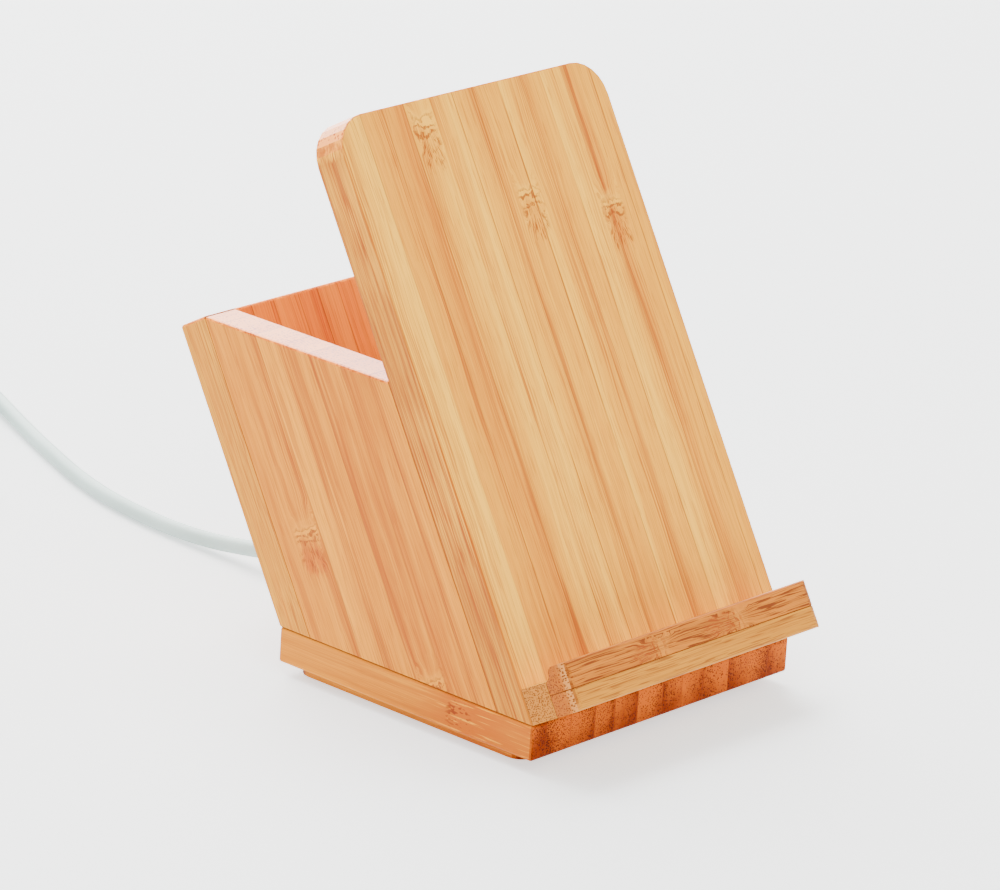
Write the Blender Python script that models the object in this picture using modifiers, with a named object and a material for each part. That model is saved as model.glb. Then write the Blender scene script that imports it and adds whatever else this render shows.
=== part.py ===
"""Bamboo desk stand: a leaning pen pot whose tall front board charges a phone.

The phone rests on a small ledge and leans on the front board, which hides a flat
charging coil. The circuit board lies in a pocket under the base slab, and a USB
lead plugs into the back. Metres, +Z up, the front looks towards -Y, and the origin
is on the desk under the middle of the stand.
"""
import math

import bmesh
import bpy
from mathutils import Matrix, Vector

# Base slab, the plate under it and its feet
slab_width = 0.0745
slab_depth = 0.0665
slab_thickness = 0.0072
plate_thickness = 0.0018
plate_inset = 0.0024
plate_front_inset = 0.0044
plate_corner_radius = 0.0035
pad_diameter = 0.0100
pad_thickness = 0.0011
pad_stand_out = 0.0004
pad_plate_margin = 0.0075

# The leaning boards, all square to one another along the lean
lean = math.radians(29.8)
pot_height = 0.0570
front_board_thickness = 0.0078
front_board_length = 0.1200
front_corner_radius = 0.0076
back_board_thickness = 0.0070
side_board_thickness = 0.0084

# Ledge that carries the phone: a seat block and a lip of two glued layers
ledge_length = 0.0720
seat_depth = 0.0068
seat_height = 0.0073
lip_thickness = 0.0053
lip_height = 0.0098
lip_layer_height = 0.0047
lip_cove_radius = 0.0013
lip_crest_radius = 0.0014
lip_foot_radius = 0.0006
lip_end_radius = 0.0022
dowel_diameter = 0.0030
dowel_in_board = 0.0030
dowel_in_seat = 0.0048
dowel_height = 0.0046
dowel_spacing = 0.0440

# Charging coil, its shield and the cover that closes their pocket
coil_height = 0.0440
coil_turns = 9
coil_inner_radius = 0.0104
coil_wire_diameter = 0.0008
coil_turn_gap = 0.00045
shield_diameter = 0.0480
shield_thickness = 0.0012
shield_slot_width = 0.0036
pocket_wall = 0.0030
cover_thickness = 0.0016
cover_width = 0.0520
cover_height = 0.0680
cover_corner_radius = 0.0040
lead_wire_diameter = 0.0010
lead_spacing = 0.0018
groove_width = 0.0044
groove_depth = 0.0020

# Circuit board under the slab, and the socket on its rear edge
board_width = 0.0360
board_depth = 0.0290
board_thickness = 0.0010
board_drop = 0.0016
board_back_gap = 0.0028
shelf_width = 0.0035
pocket_ceiling = 0.00545
socket_width = 0.00894
socket_height = 0.00326
socket_depth = 0.00735
socket_wall = 0.00028
socket_recess = 0.0004
socket_sink = 0.00075
tongue_width = 0.0067
tongue_thickness = 0.0007
tongue_length = 0.0045
channel_width = 0.0052
channel_height = 0.0045
channel_end_gap = 0.0007
passage_diameter = 0.0050

# Screws: shank, head and length of each kind
plate_screw_shank = 0.0020
plate_screw_head = 0.0038
plate_screw_length = 0.0055
plate_screw_front_spacing = 0.0280
plate_screw_front_share = 0.18
plate_screw_board_distance = 0.0046
plate_screw_back_share = 0.52
frame_screw_shank = 0.0028
frame_screw_head = 0.0054
frame_screw_length = 0.0160
frame_screw_inset = 0.00575
frame_screw_front_share = 0.34
frame_screw_back_share = 0.68
board_screw_shank = 0.0014
board_screw_head = 0.0026
board_screw_head_height = 0.0008
board_screw_length = 0.0040
board_screw_edge = 0.0019
component_spacing = 0.0055
component_first_row = 0.0090
component_second_row = 0.0155
capacitor_width = 0.0033
capacitor_depth = 0.0046
chip_size = 0.0050
chip_height = 0.0009
inductor_size = 0.0046
tall_component_height = 0.0020

# USB lead
cord_diameter = 0.0033
cord_turn_gap = 0.0005
cord_loops = 7
cord_coil_middle_radius = 0.0180
plug_shell_width = 0.0081
plug_shell_height = 0.0023
plug_shell_length = 0.0064
plug_slot_width = 0.0071
plug_slot_height = 0.0011
plug_slot_depth = 0.0052
plug_body_width = 0.0108
plug_body_height = 0.0062
plug_body_length = 0.0170
relief_length = 0.0100
relief_big_diameter = 0.0056
relief_small_diameter = 0.0042
relief_ribs = 4
relief_groove = 0.0004
far_body_width = 0.0156
far_body_height = 0.0078
far_body_length = 0.0210
far_relief_length = 0.0080
far_shell_width = 0.0120
far_shell_height = 0.0045
far_shell_length = 0.0118
far_shell_wall = 0.0004
far_tongue_height = 0.0018
tie_width = 0.0060
tie_thickness = 0.0007
tie_clearance = 0.0004

# Fits and edges
glue_line = 0.0002
fit_gap = 0.0003
plug_travel_gap = 0.0003
wood_edge = 0.0005
plastic_edge = 0.0006
metal_edge = 0.0002
overrun = 0.0020
merge_distance = 0.00001
arc_steps = 6
round_steps = 24
route_steps = 20

# Heights and places that follow from the sizes above
plate_bottom = pad_stand_out
slab_bottom = plate_bottom + plate_thickness + fit_gap
slab_top = slab_bottom + slab_thickness
half_width = slab_width / 2
tan_lean = math.tan(lean)
cos_lean = math.cos(lean)
sin_lean = math.sin(lean)
pot_depth = slab_depth * cos_lean
back_board_front = pot_depth - back_board_thickness
ledge_depth = seat_depth + lip_thickness
rear_reach = pot_depth * cos_lean + (pot_height + back_board_front * sin_lean) * tan_lean
front_reach = ledge_depth * cos_lean
middle_y = (rear_reach - front_reach) / 2
pad_recess = pad_thickness - pad_stand_out

parts = bpy.data.collections.new("wireless_charger_pen_holder")
cutters = bpy.data.collections.new("cutters")
surface_of = {}


def start_clean():
    """Remove what the file holds and add the two collections."""
    for thing in list(bpy.data.objects):
        bpy.data.objects.remove(thing, do_unlink=True)
    for group in (parts, cutters):
        bpy.context.scene.collection.children.link(group)


def surface(name, colour, roughness, metallic=0.0):
    """A plain Principled surface, one for each sub-part."""
    made = bpy.data.materials.new(name)
    made.use_nodes = True
    shader = made.node_tree.nodes["Principled BSDF"]
    shader.inputs["Base Color"].default_value = (*colour, 1.0)
    shader.inputs["Roughness"].default_value = roughness
    shader.inputs["Metallic"].default_value = metallic
    return made


honey_bamboo = ((0.74, 0.43, 0.18), 0.55)
dark_bamboo = ((0.62, 0.27, 0.09), 0.6)
pale_bamboo = ((0.80, 0.52, 0.26), 0.55)
zinc_steel = ((0.62, 0.62, 0.64), 0.3, 1.0)
bright_steel = ((0.75, 0.75, 0.77), 0.25, 1.0)
black_rubber = ((0.03, 0.03, 0.03), 0.85)
enamelled_copper = ((0.72, 0.30, 0.12), 0.35, 1.0)
dark_ferrite = ((0.06, 0.06, 0.07), 0.5)
green_board = ((0.03, 0.22, 0.10), 0.45)
black_resin = ((0.02, 0.02, 0.02), 0.5)
cord_plastic = ((0.72, 0.76, 0.74), 0.45)
white_plastic = ((0.80, 0.82, 0.81), 0.4)


def empty(name, parent=None, location=(0, 0, 0), tilt=0.0):
    """A frame that pieces are built in."""
    made = bpy.data.objects.new(name, None)
    made.location = location
    made.rotation_euler = (tilt, 0, 0)
    made.parent = parent
    cutters.objects.link(made)
    return made


def place(obj, frame, look=None, cutter=False):
    """Put an object in its collection, its frame and its material."""
    for group in list(obj.users_collection):
        group.objects.unlink(obj)
    (cutters if cutter else parts).objects.link(obj)
    obj.parent = frame
    if cutter:
        obj.hide_render = True
        obj.display_type = "WIRE"
    if look:
        obj.data.materials.clear()
        obj.data.materials.append(surface(obj.name, *look))
    return obj


def mesh_object(name, bm):
    """Turn a finished bmesh into an object."""
    mesh = bpy.data.meshes.new(name)
    bm.to_mesh(mesh)
    bm.free()
    return bpy.data.objects.new(name, mesh)


def box(name, low, high):
    """A block between two corners."""
    bm = bmesh.new()
    bmesh.ops.create_cube(bm, size=1.0)
    size = [b - a for a, b in zip(low, high)]
    middle = [(a + b) / 2 for a, b in zip(low, high)]
    bmesh.ops.scale(bm, vec=size, verts=bm.verts)
    bmesh.ops.translate(bm, vec=middle, verts=bm.verts)
    return mesh_object(name, bm)


def cylinder(name, radius, low, high, at=(0, 0), steps=round_steps):
    """An upright round bar."""
    bm = bmesh.new()
    bmesh.ops.create_cone(bm, cap_ends=True, segments=steps, radius1=radius, radius2=radius, depth=high - low)
    bmesh.ops.translate(bm, vec=(at[0], at[1], (low + high) / 2), verts=bm.verts)
    return mesh_object(name, bm)


def turn(name, profile, steps=round_steps):
    """A profile of (radius, height) points, listed top to bottom, turned about Z."""
    bm = bmesh.new()
    row = [bm.verts.new((radius, 0, height)) for radius, height in profile]
    for first, second in zip(row, row[1:]):
        bm.edges.new((first, second))
    made = mesh_object(name, bm)
    screw = made.modifiers.new("turn", "SCREW")
    screw.steps = screw.render_steps = steps
    screw.use_merge_vertices = True
    screw.merge_threshold = merge_distance
    screw.use_normal_calculate = True
    return made


def solid(obj):
    """The object's evaluated shape as a plain mesh object, its caps welded."""
    bpy.context.scene.collection.objects.link(obj)
    bpy.context.view_layer.update()
    graph = bpy.context.evaluated_depsgraph_get()
    mesh = bpy.data.meshes.new_from_object(obj.evaluated_get(graph))
    name = obj.name
    bm = bmesh.new()
    bm.from_mesh(mesh)
    bmesh.ops.remove_doubles(bm, verts=bm.verts, dist=merge_distance / 10)
    bmesh.ops.recalc_face_normals(bm, faces=bm.faces)
    bm.to_mesh(mesh)
    bm.free()
    matrix = obj.matrix_world.copy()
    bpy.data.objects.remove(obj, do_unlink=True)
    made = bpy.data.objects.new(name, mesh)
    made.matrix_world = matrix
    return made


def arc(centre, radius, start, end, steps=arc_steps):
    """Points of an arc, from one angle in degrees to another."""
    angles = [math.radians(start + (end - start) * step / steps) for step in range(steps + 1)]
    return [(centre[0] + radius * math.cos(a), centre[1] + radius * math.sin(a)) for a in angles]


def rounded(width, height, radius, steps=arc_steps):
    """Outline of a rounded rectangle about the origin."""
    right, up = width / 2 - radius, height / 2 - radius
    corners = ((right, up, 0), (-right, up, 90), (-right, -up, 180), (right, -up, 270))
    return [point for x, y, start in corners for point in arc((x, y), radius, start, start + 90, steps)]


def outline(name, loops, thickness, plane="XY", at=(0, 0, 0)):
    """A flat outline, with any holes, given half its thickness each way from its plane."""
    curve = bpy.data.curves.new(name, "CURVE")
    curve.dimensions = "2D"
    curve.fill_mode = "BOTH"
    curve.extrude = thickness / 2
    for loop in loops:
        spline = curve.splines.new("POLY")
        spline.points.add(len(loop) - 1)
        for point, (x, y) in zip(spline.points, loop):
            point.co = (x, y, 0, 1)
        spline.use_cyclic_u = True
    made = bpy.data.objects.new(name, curve)
    turns = {"XY": Matrix.Identity(3),
             "XZ": Matrix(((1, 0, 0), (0, 0, -1), (0, 1, 0))),
             "YZ": Matrix(((0, 0, 1), (1, 0, 0), (0, 1, 0)))}
    flat = solid(made)
    flat.data.transform(Matrix.Translation(at) @ turns[plane].to_4x4())
    return flat


def tube(name, points, diameter, rings=2):
    """A round bar along a list of points."""
    curve = bpy.data.curves.new(name, "CURVE")
    curve.dimensions = "3D"
    curve.bevel_depth = diameter / 2
    curve.bevel_resolution = rings
    curve.use_fill_caps = True
    spline = curve.splines.new("POLY")
    spline.points.add(len(points) - 1)
    for point, place_of in zip(spline.points, points):
        point.co = (*place_of, 1)
    return bpy.data.objects.new(name, curve)


def soften(obj, width, segments=2, angle=35):
    """Rounded edges."""
    bevel = obj.modifiers.new("soft_edges", "BEVEL")
    bevel.width = width
    bevel.segments = segments
    bevel.limit_method = "ANGLE"
    bevel.angle_limit = math.radians(angle)
    return obj


def soften_free(obj, width, free, segments=2):
    """Rounded edges only where both ends of a sharp edge pass the test: glued edges stay square."""
    bm = bmesh.new()
    bm.from_mesh(obj.data)
    weight = bm.edges.layers.float.new("bevel_weight_edge")
    for edge in bm.edges:
        if edge.calc_face_angle(0) > math.radians(35) and all(free(*vert.co) for vert in edge.verts):
            edge[weight] = 1.0
    bm.to_mesh(obj.data)
    bm.free()
    bevel = obj.modifiers.new("soft_free_edges", "BEVEL")
    bevel.width = width
    bevel.segments = segments
    bevel.limit_method = "WEIGHT"
    return obj


def cut(obj, cutter, frame, keep_inside=False):
    """Take the cutter's space out of the object, or keep only what is inside it."""
    place(cutter, frame, cutter=True)
    change = obj.modifiers.new(cutter.name, "BOOLEAN")
    change.operation = "INTERSECT" if keep_inside else "DIFFERENCE"
    change.solver = "EXACT"
    change.object = cutter
    return obj


def copies(name, first, places, frame, look):
    """Equal pieces that share one mesh, numbered from 1, each at its own place."""
    mesh = smooth(first).data
    mesh.materials.clear()
    mesh.materials.append(surface(name, *look))
    bpy.data.objects.remove(first, do_unlink=True)
    for number, at in enumerate(places, 1):
        one = bpy.data.objects.new(f"{name}_{number}", mesh)
        place(one, frame)
        one.location = at


def smooth(obj, angle=35):
    """Round faces are shaded smooth and real edges stay sharp."""
    obj.data.shade_smooth()
    obj.data.set_sharp_from_angle(angle=math.radians(angle))
    return obj


def along_lean(through, height):
    """Distance along the lean of a point at a height above the slab."""
    return (height + through * sin_lean) / cos_lean


start_clean()
stand = empty("stand", location=(0, -middle_y, 0))
leaning = empty("leaning", stand, (0, 0, slab_top), -lean)


# Base slab and what closes it

pocket_back = slab_depth - board_back_gap
pocket_front = pocket_back - board_depth - 2 * fit_gap
board_front = pocket_front + fit_gap
board_bottom = slab_bottom + board_drop
board_top = board_bottom + board_thickness
socket_bottom = board_top - socket_sink
socket_middle = socket_bottom + socket_height / 2
socket_mouth = slab_depth - socket_recess
passage_y = (front_board_thickness - cover_thickness - glue_line - groove_depth / 2) / cos_lean
pad_places = [(side * (half_width - plate_inset - pad_plate_margin), y) for side in (-1, 1)
              for y in (plate_front_inset + pad_plate_margin, slab_depth - plate_inset - pad_plate_margin)]
plate_screw_places = [(side * across, share * slab_depth)
                      for across, share in ((plate_screw_front_spacing / 2, plate_screw_front_share),
                                            (board_width / 2 + plate_screw_board_distance, plate_screw_back_share))
                      for side in (-1, 1)]
frame_screw_places = [(side * (half_width - frame_screw_inset), share * slab_depth)
                      for side in (-1, 1) for share in (frame_screw_front_share, frame_screw_back_share)]
board_screw_places = [(side * (board_width / 2 - board_screw_edge), y)
                      for side in (-1, 1)
                      for y in (board_front + board_screw_edge, board_front + board_depth - board_screw_edge)]


def screw_profile(shank, head, length, head_height, countersunk, swell=0.0):
    """Half outline of a screw standing on its tip, listed from head to tip."""
    rim = head / 2 + swell
    stem = shank / 2 + swell
    tip = shank
    under_head = -head_height if not countersunk else -(head - shank) / 2
    outline_points = [(0, swell), (rim, swell)]
    outline_points.append((stem, under_head) if countersunk else (rim, under_head))
    if not countersunk:
        outline_points.append((stem, under_head))
    outline_points += [(stem, -length + tip), (0, -length - swell)]
    return outline_points


def screws(name, places, head, profile):
    """A set of equal screws, heads down."""
    first = solid(turn(name, profile, steps=16))
    first.data.transform(Matrix.Rotation(math.pi, 4, "X"))
    copies(name, first, [(x, y, head) for x, y in places], stand, zinc_steel)


def make_base_slab():
    """Slab with the pocket for the circuit board milled from below."""
    slab = box("base_slab", (-half_width, 0, slab_bottom), (half_width, slab_depth, slab_top))
    soften(slab, wood_edge)
    inner = board_width / 2 + fit_gap
    low = slab_bottom - overrun
    shelf_top = board_top + fit_gap
    ceiling = slab_bottom + pocket_ceiling
    cut(slab, box("board_pocket", (-inner, pocket_front, low), (inner, pocket_back, shelf_top)), stand)
    deep = inner - shelf_width
    cut(slab, box("deep_pocket", (-deep, pocket_front, low), (deep, pocket_back, ceiling)), stand)
    channel_front = passage_y - lead_wire_diameter / 2 - channel_end_gap
    cut(slab, box("lead_channel", (-channel_width / 2, channel_front, low),
                  (channel_width / 2, pocket_front + overrun, slab_bottom + channel_height)), stand)
    cut(slab, cylinder("lead_passage", passage_diameter / 2, slab_bottom + channel_height - overrun,
                       slab_top + overrun, (0, passage_y)), stand)
    mouth = rounded(socket_width + 2 * fit_gap, socket_height + 2 * fit_gap, socket_height / 2)
    cut(slab, outline("socket_window", [mouth], board_back_gap + 2 * overrun, "XZ",
                      (0, slab_depth, socket_middle)), stand)
    for number, (x, y) in enumerate(frame_screw_places):
        profile = screw_profile(frame_screw_shank, frame_screw_head, frame_screw_length, 0, True, fit_gap)
        hole = solid(turn(f"frame_screw_hole_{number}", profile, steps=16))
        hole.data.transform(Matrix.Translation((x, y, slab_bottom)) @ Matrix.Rotation(math.pi, 4, "X"))
        cut(slab, hole, stand)
    for number, (x, y) in enumerate(plate_screw_places):
        cut(slab, cylinder(f"plate_screw_pilot_{number}", plate_screw_shank / 2 + fit_gap, low,
                           plate_bottom + plate_screw_length + 2 * fit_gap, (x, y), steps=16), stand)
    for number, (x, y) in enumerate(board_screw_places):
        cut(slab, cylinder(f"board_screw_pilot_{number}", board_screw_shank / 2 + fit_gap, low,
                           board_bottom + board_screw_length + fit_gap, (x, y), steps=12), stand)
    return place(slab, stand, honey_bamboo)


def make_bottom_plate():
    """Rounded plate that closes the pocket, set back most at the front, countersunk for its screws."""
    depth = slab_depth - plate_front_inset - plate_inset
    shape = rounded(slab_width - 2 * plate_inset, depth, plate_corner_radius)
    plate = outline("bottom_plate", [shape], plate_thickness,
                    at=(0, plate_front_inset + depth / 2, plate_bottom + plate_thickness / 2))
    soften(plate, wood_edge)
    for number, (x, y) in enumerate(plate_screw_places):
        profile = screw_profile(plate_screw_shank, plate_screw_head, plate_screw_length, 0, True, fit_gap)
        hole = solid(turn(f"plate_screw_hole_{number}", profile, steps=16))
        hole.data.transform(Matrix.Translation((x, y, plate_bottom)) @ Matrix.Rotation(math.pi, 4, "X"))
        cut(plate, hole, stand)
    for number, (x, y) in enumerate(pad_places):
        cut(plate, cylinder(f"pad_recess_{number}", pad_diameter / 2 + fit_gap, plate_bottom - overrun,
                            plate_bottom + pad_recess + fit_gap, (x, y)), stand)
    return place(plate, stand, honey_bamboo)


def make_pads():
    """Four round rubber feet."""
    first = cylinder("anti_slip_pad", pad_diameter / 2, 0, pad_thickness)
    copies("anti_slip_pad", first, [(x, y, 0) for x, y in pad_places], stand, black_rubber)


# Leaning boards

def side_profile(start, end, low, high_start, high_end):
    """Side view of a board between two depths through the pot, cut level at its foot."""
    return [(start, along_lean(start, low)), (end, along_lean(end, low)), (end, high_end), (start, high_start)]


def make_front_board():
    """Tall board with rounded top corners, pocketed from behind for the coil."""
    corner, upper = half_width - front_corner_radius, front_board_length - front_corner_radius
    rim = along_lean(front_board_thickness, pot_height)
    shape = [(half_width, -overrun), (half_width, rim), *arc((corner, upper), front_corner_radius, 0, 90),
             *arc((-corner, upper), front_corner_radius, 90, 180), (-half_width, rim), (-half_width, -overrun)]
    board = outline("front_board", [shape], front_board_thickness, "XZ", (0, front_board_thickness / 2, 0))
    half_thickness = front_board_thickness / 2
    soften_free(board, wood_edge, lambda x, y, z: y < half_thickness or z > rim - wood_edge)
    rebate = front_board_thickness - cover_thickness - glue_line
    shape = rounded(cover_width + 2 * glue_line, 2 * cover_height + 2 * glue_line, cover_corner_radius + glue_line)
    cut(board, outline("cover_rebate", [shape], 2 * (cover_thickness + glue_line), "XZ",
                       (0, front_board_thickness, 0)), leaning)
    hollow = cylinder("coil_pocket", shield_diameter / 2 + fit_gap, pocket_wall, rebate + fit_gap)
    hollow.data.transform(Matrix.Translation((0, 0, coil_height)) @ Matrix.Rotation(-math.pi / 2, 4, "X"))
    cut(board, hollow, leaning)
    cut(board, box("lead_groove", (-groove_width / 2, rebate - groove_depth, -overrun),
                   (groove_width / 2, rebate + fit_gap, coil_height)), leaning)
    for side in (-1, 1):
        hole = dowel_shape(f"board_dowel_hole_{side + 1}", side, fit_gap)
        cut(board, hole, leaning)
    reach = half_width + overrun
    cut(board, box("front_board_foot", (-reach, -overrun, slab_bottom), (reach, slab_depth, slab_top + glue_line)),
        stand)
    return smooth(place(board, leaning, honey_bamboo))


def make_back_board():
    """Rear wall of the pot, its top cut square to the lean."""
    start, end = back_board_front, pot_depth
    top = along_lean(start, pot_height)
    shape = side_profile(start, end, glue_line, top, top)
    board = outline("back_board", [shape], slab_width, "YZ")
    soften_free(board, wood_edge, lambda x, y, z: y > (start + end) / 2 or z > top - wood_edge)
    return place(board, leaning, honey_bamboo)


def make_side_board(name, side):
    """Side wall, level at its foot and at the pot's rim."""
    start, end = front_board_thickness + glue_line, back_board_front - glue_line
    shape = side_profile(start, end, glue_line, along_lean(start, pot_height), along_lean(end, pot_height))
    middle = side * (half_width - side_board_thickness / 2)
    board = outline(name, [shape], side_board_thickness, "YZ", (middle, 0, 0))
    soften_free(board, wood_edge, lambda x, y, z: z > along_lean(y, pot_height - wood_edge))
    for number, (x, y) in enumerate(frame_screw_places):
        if x * side < 0:
            continue
        hole = cylinder(f"{name}_pilot_{number}", frame_screw_shank / 2 + fit_gap, slab_bottom,
                        slab_bottom + frame_screw_length + 2 * fit_gap, (x, y), steps=16)
        cut(board, hole, stand)
    return place(board, leaning, honey_bamboo)


# Charging coil behind the front board

def coil_centreline():
    """Flat spiral from the inner end to the outer end, both at the foot of the coil."""
    pitch = coil_wire_diameter + coil_turn_gap
    steps = coil_turns * round_steps
    depth = pocket_wall + fit_gap + coil_wire_diameter / 2
    points = []
    for step in range(steps + 1):
        turned = step / round_steps
        angle = 2 * math.pi * turned - math.pi / 2
        radius = coil_inner_radius + pitch * turned
        points.append((radius * math.cos(angle), depth, coil_height + radius * math.sin(angle)))
    return points


def least_gap(points, diameter, skip):
    """Least clear space between parts of a tube that lie at least skip points apart."""
    vectors = [Vector(point) for point in points]
    least = min((a - b).length for number, a in enumerate(vectors) for b in vectors[number + skip:])
    return least - diameter


def make_coil():
    """Flat charging coil of one unbroken wire."""
    points = coil_centreline()
    print("least gap in the charging coil, mm", round(least_gap(points, coil_wire_diameter, 12) * 1000, 3))
    return smooth(place(solid(tube("charging_coil", points, coil_wire_diameter, 1)), leaning, enamelled_copper), 80)


def shield_front():
    """Depth of the shield's face behind the coil."""
    return pocket_wall + 2 * fit_gap + coil_wire_diameter


def make_shield():
    """Ferrite disc behind the coil, slotted for the inner lead."""
    slot = shield_slot_width / 2
    edge = math.degrees(math.asin(slot / (shield_diameter / 2)))
    ring = arc((0, 0), shield_diameter / 2, edge - 90, 270 - edge, 2 * round_steps)
    middle = arc((0, -coil_inner_radius / 2), slot, 180, 0)
    disc = outline("ferrite_shield", [ring + middle], shield_thickness, "XZ",
                   (0, shield_front() + shield_thickness / 2, coil_height))
    return smooth(place(disc, leaning, dark_ferrite))


def make_cover():
    """Thin board that closes the pocket from inside the pot."""
    low, high = along_lean(front_board_thickness, glue_line), cover_height
    half = cover_width / 2
    upper = high - cover_corner_radius
    shape = [(half, low), *arc((half - cover_corner_radius, upper), cover_corner_radius, 0, 90),
             *arc((cover_corner_radius - half, upper), cover_corner_radius, 90, 180), (-half, low)]
    cover = outline("coil_cover", [shape], cover_thickness, "XZ",
                    (0, front_board_thickness - cover_thickness / 2, 0))
    return smooth(place(cover, leaning, pale_bamboo))


def slab_point(x, y, height):
    """A place under the slab, in the leaning boards' frame."""
    return leaning_inverse @ Vector((x, y, height))


leaning_inverse = Matrix.Rotation(lean, 4, "X") @ Matrix.Translation((0, 0, -slab_top))


def make_leads():
    """Two wires from the coil's ends down the groove, under the slab and to the board."""
    wire = lead_wire_diameter
    groove_y = front_board_thickness - cover_thickness - glue_line - groove_depth / 2
    coil_end = coil_inner_radius + coil_turns * (coil_wire_diameter + coil_turn_gap)
    run_height = board_top + fit_gap + wire
    for side, name, reach in ((-1, "coil_lead_inner", coil_inner_radius), (1, "coil_lead_outer", coil_end)):
        x = side * lead_spacing / 2
        route = [Vector((x, groove_y, coil_height - reach)), Vector((x, groove_y, groove_width))]
        for y, height in ((passage_y, slab_top - wire), (passage_y, run_height + 2 * wire),
                          (passage_y + wire, run_height + wire / 2), (passage_y + 3 * wire, run_height),
                          (board_front - wire, run_height), (board_front + 2 * wire, run_height)):
            route.append(slab_point(x, y, height))
        smooth(place(solid(tube(name, route, wire, 1)), leaning, enamelled_copper), 80)


# Ledge for the phone

def dowel_shape(name, side, swell=0.0):
    """Dowel across the joint of the front board and the seat block."""
    bar = cylinder(name, dowel_diameter / 2 + swell, -dowel_in_seat - swell, dowel_in_board + swell, steps=16)
    shift = (ledge_middle() + side * dowel_spacing / 2, 0, dowel_height)
    bar.data.transform(Matrix.Translation(shift) @ Matrix.Rotation(-math.pi / 2, 4, "X"))
    return bar


def ledge_middle():
    """The ledge is flush with the slab's left side."""
    return ledge_length / 2 - half_width


def make_seat():
    """Seat block glued and dowelled to the front board."""
    middle = ledge_middle()
    seat = box("ledge_seat", (middle - ledge_length / 2, -seat_depth, glue_line),
               (middle + ledge_length / 2, -glue_line, seat_height))
    for side in (-1, 1):
        cut(seat, dowel_shape(f"seat_dowel_hole_{side + 1}", side, fit_gap), leaning)
    return place(seat, leaning, pale_bamboo)


def make_dowels():
    """Two beech dowels."""
    for side, name in ((-1, "ledge_dowel_left"), (1, "ledge_dowel_right")):
        smooth(place(dowel_shape(name, side), leaning, pale_bamboo))


def make_lip_layer(name, profile):
    """One glued layer of the lip, its front ends rounded."""
    layer = outline(name, [profile], ledge_length, "YZ", (ledge_middle(), 0, 0))
    depth = lip_thickness + lip_end_radius
    front = -ledge_depth
    radius = lip_end_radius
    half = ledge_length / 2
    plan = [(half, front + depth), (-half, front + depth), *arc((radius - half, front + radius), radius, 180, 270),
            *arc((half - radius, front + radius), radius, 270, 360)]
    keep = outline(f"{name}_ends", [plan], 3 * lip_height, "XY", (ledge_middle(), 0, lip_height))
    cut(layer, keep, leaning, keep_inside=True)
    return smooth(place(layer, leaning, honey_bamboo))


def make_lip():
    """Lower and upper layer; the upper one has a cove at its foot and a round crest."""
    front, back = -ledge_depth, -seat_depth - glue_line
    split = lip_layer_height
    cove, crest, foot = lip_cove_radius, lip_crest_radius, lip_foot_radius
    lower = [(back, glue_line), (back, split - glue_line), (front, split - glue_line),
             *arc((front + foot, glue_line + foot), foot, 180, 270, 3)]
    inner = back - cove
    upper = [(front, split), (back, split), *arc((back, seat_height + cove), cove, 270, 180),
             *arc((inner - crest, lip_height - crest), crest, 0, 90),
             *arc((front + crest / 2, lip_height - crest / 2), crest / 2, 90, 180)]
    return make_lip_layer("ledge_lip_lower", lower), make_lip_layer("ledge_lip_upper", upper)


# Circuit board and socket

def make_board():
    """Circuit board with a notch that the socket is sunk into."""
    half = board_width / 2
    board = box("main_board", (-half, board_front, board_bottom), (half, board_front + board_depth, board_top))
    notch = socket_width / 2 + fit_gap
    cut(board, box("socket_notch", (-notch, socket_mouth - socket_depth - fit_gap, board_bottom - overrun),
                   (notch, slab_depth, board_top + overrun)), stand)
    for number, (x, y) in enumerate(board_screw_places):
        cut(board, cylinder(f"board_hole_{number}", board_screw_shank / 2 + fit_gap, board_bottom - overrun,
                            board_top + overrun, (x, y), steps=16), stand)
    return place(board, stand, green_board)


def make_components():
    """Driver and control chips, the four resonance capacitors and an inductor on the board."""
    low = board_top + fit_gap
    first_row = board_front + component_first_row
    second_row = board_front + component_second_row
    capacitor = box("resonance_capacitor", (-capacitor_width / 2, -capacitor_depth / 2, 0),
                    (capacitor_width / 2, capacitor_depth / 2, tall_component_height))
    row = [(share * component_spacing, first_row, low) for share in (-1.5, -0.5, 0.5, 1.5)]
    copies("resonance_capacitor", capacitor, row, stand, black_resin)
    for name, share, size, height in (("driver_chip", -1.5, chip_size, chip_height),
                                      ("control_chip", 1.5, chip_size, chip_height),
                                      ("inductor", 0, inductor_size, tall_component_height)):
        x = share * component_spacing
        piece = box(name, (x - size / 2, second_row - size / 2, low), (x + size / 2, second_row + size / 2, low + height))
        place(piece, stand, black_resin)


def make_socket():
    """Socket shell, open at the back of the slab, and the tongue inside it."""
    radius = socket_height / 2
    back = socket_mouth - socket_depth
    outer = rounded(socket_width, socket_height, radius)
    shell = outline("usb_socket_shell", [outer], socket_depth, "XZ",
                    (0, socket_mouth - socket_depth / 2, socket_middle))
    inner = rounded(socket_width - 2 * socket_wall, socket_height - 2 * socket_wall, radius - socket_wall)
    depth = socket_depth - socket_wall + overrun
    cut(shell, outline("socket_bore", [inner], depth, "XZ",
                       (0, back + socket_wall + depth / 2, socket_middle)), stand)
    smooth(place(shell, stand, bright_steel))
    start = back + socket_wall + fit_gap
    tongue = box("usb_socket_tongue", (-tongue_width / 2, start, socket_middle - tongue_thickness / 2),
                 (tongue_width / 2, start + tongue_length, socket_middle + tongue_thickness / 2))
    return shell, place(soften(tongue, metal_edge, 1), stand, black_resin)


# USB lead

body_start = slab_depth + plug_travel_gap
relief_start = body_start + plug_body_length + fit_gap
cord_start = relief_start + relief_length + fit_gap
cord_layer = cord_diameter + cord_turn_gap
coil_rest_height = tie_thickness + tie_clearance + cord_diameter / 2

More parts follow.
